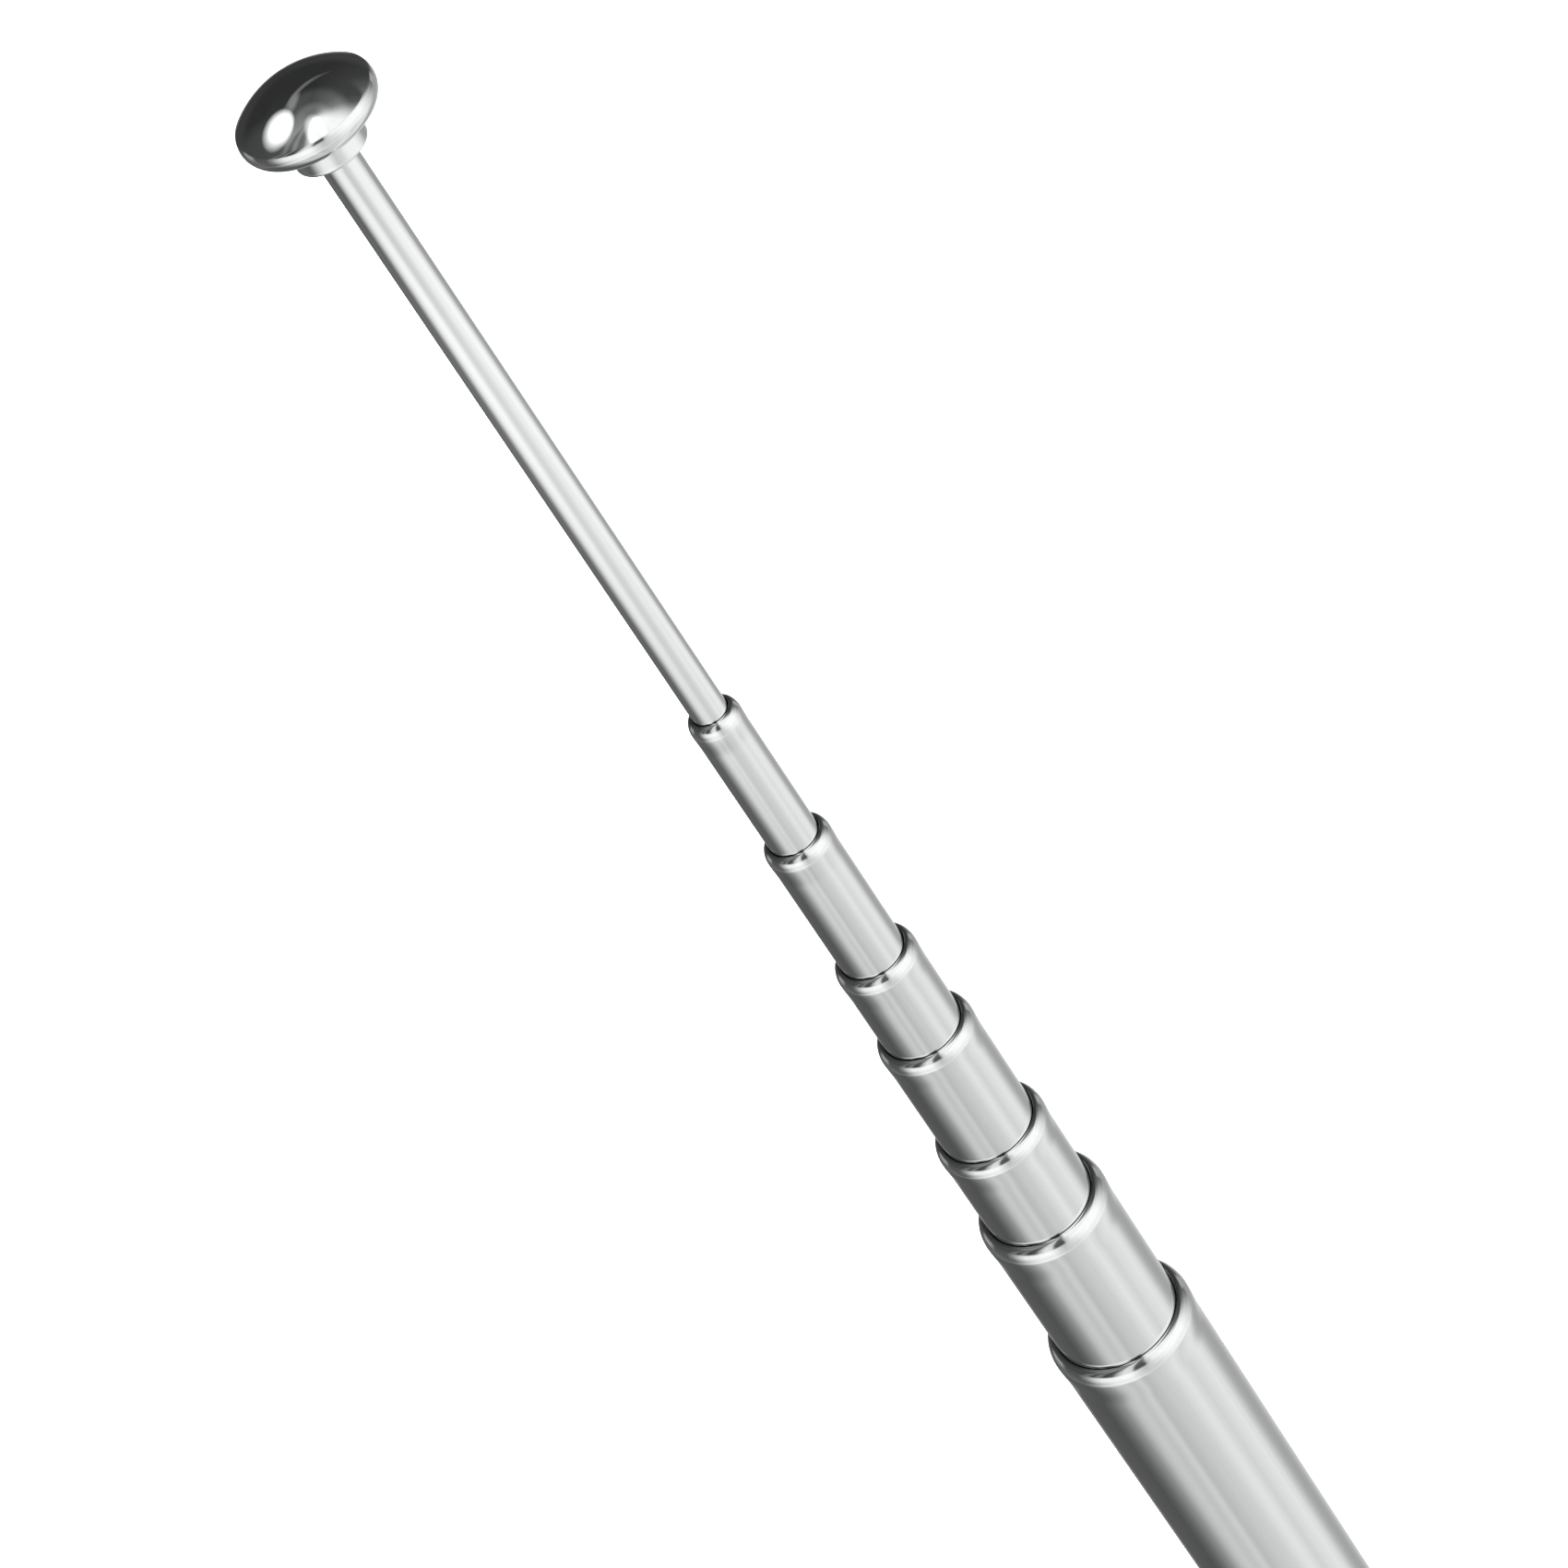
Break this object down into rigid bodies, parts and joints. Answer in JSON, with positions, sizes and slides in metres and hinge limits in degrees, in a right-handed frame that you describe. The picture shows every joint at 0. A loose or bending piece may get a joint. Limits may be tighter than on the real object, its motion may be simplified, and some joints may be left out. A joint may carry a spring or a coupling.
{
  "type": "telescopic antenna",
  "caption": "Telescopic rod antenna of nested chromed tubes with a mushroom tip cap; it draws out from a base tube with a screw hole in its foot.",
  "frame": {"origin": "centre of the plug's flat bottom, on the antenna's axis", "axes": "+Z along the antenna from the base to the tip cap"},
  "size_m": [0.0102, 0.0102, 0.2519],
  "materials": {
    "chrome_plate": "polished chrome plate on brass",
    "plug_brass": "turned brass",
    "leaf_bronze": "rolled phosphor bronze"
  },
  "bodies": {
    "base": {"base_plug": "plug_brass", "base_tube": "chrome_plate"},
    "leaves_2": {"spring_leaf_2a": "leaf_bronze", "spring_leaf_2b": "leaf_bronze"},
    "section_2": {"tube_2": "chrome_plate"},
    "leaves_3": {"spring_leaf_3a": "leaf_bronze", "spring_leaf_3b": "leaf_bronze"},
    "section_3": {"tube_3": "chrome_plate"},
    "leaves_4": {"spring_leaf_4a": "leaf_bronze", "spring_leaf_4b": "leaf_bronze"},
    "section_4": {"tube_4": "chrome_plate"},
    "leaves_5": {"spring_leaf_5a": "leaf_bronze", "spring_leaf_5b": "leaf_bronze"},
    "section_5": {"tube_5": "chrome_plate"},
    "leaves_6": {"spring_leaf_6a": "leaf_bronze", "spring_leaf_6b": "leaf_bronze"},
    "section_6": {"tube_6": "chrome_plate"},
    "leaves_7": {"spring_leaf_7a": "leaf_bronze", "spring_leaf_7b": "leaf_bronze"},
    "section_7": {"tube_7": "chrome_plate"},
    "leaves_8": {"spring_leaf_8a": "leaf_bronze", "spring_leaf_8b": "leaf_bronze"},
    "section_8": {"tip_rod": "chrome_plate", "tip_cap": "chrome_plate"}
  },
  "joints": [
    {"name": "slide_2", "type": "slide", "parent": "base", "child": "leaves_2", "axis": [0, 0, 1], "range_m": [-0.0101, 0.11631]},
    {"name": "swivel_2", "type": "hinge", "parent": "leaves_2", "child": "section_2", "pos_m": [0, 0, 0.0184], "axis": [0, 0, 1], "continuous": true},
    {"name": "slide_3", "type": "slide", "parent": "section_2", "child": "leaves_3", "axis": [0, 0, 1], "range_m": [-0.0053, 0.11798]},
    {"name": "swivel_3", "type": "hinge", "parent": "leaves_3", "child": "section_3", "pos_m": [0, 0, 0.02985], "axis": [0, 0, 1], "continuous": true},
    {"name": "slide_4", "type": "slide", "parent": "section_3", "child": "leaves_4", "axis": [0, 0, 1], "range_m": [-0.0071, 0.11327]},
    {"name": "swivel_4", "type": "hinge", "parent": "leaves_4", "child": "section_4", "pos_m": [0, 0, 0.0431], "axis": [0, 0, 1], "continuous": true},
    {"name": "slide_5", "type": "slide", "parent": "section_4", "child": "leaves_5", "axis": [0, 0, 1], "range_m": [-0.0044, 0.11284]},
    {"name": "swivel_5", "type": "hinge", "parent": "leaves_5", "child": "section_5", "pos_m": [0, 0, 0.05365], "axis": [0, 0, 1], "continuous": true},
    {"name": "slide_6", "type": "slide", "parent": "section_5", "child": "leaves_6", "axis": [0, 0, 1], "range_m": [-0.0082, 0.1059]},
    {"name": "swivel_6", "type": "hinge", "parent": "leaves_6", "child": "section_6", "pos_m": [0, 0, 0.068], "axis": [0, 0, 1], "continuous": true},
    {"name": "slide_7", "type": "slide", "parent": "section_6", "child": "leaves_7", "axis": [0, 0, 1], "range_m": [-0.0083, 0.10271]},
    {"name": "swivel_7", "type": "hinge", "parent": "leaves_7", "child": "section_7", "pos_m": [0, 0, 0.08245], "axis": [0, 0, 1], "continuous": true},
    {"name": "slide_8", "type": "slide", "parent": "section_7", "child": "leaves_8", "axis": [0, 0, 1], "range_m": [-0.044, 0.06388]},
    {"name": "swivel_8", "type": "hinge", "parent": "leaves_8", "child": "section_8", "pos_m": [0, 0, 0.1326], "axis": [0, 0, 1], "continuous": true}
  ]
}
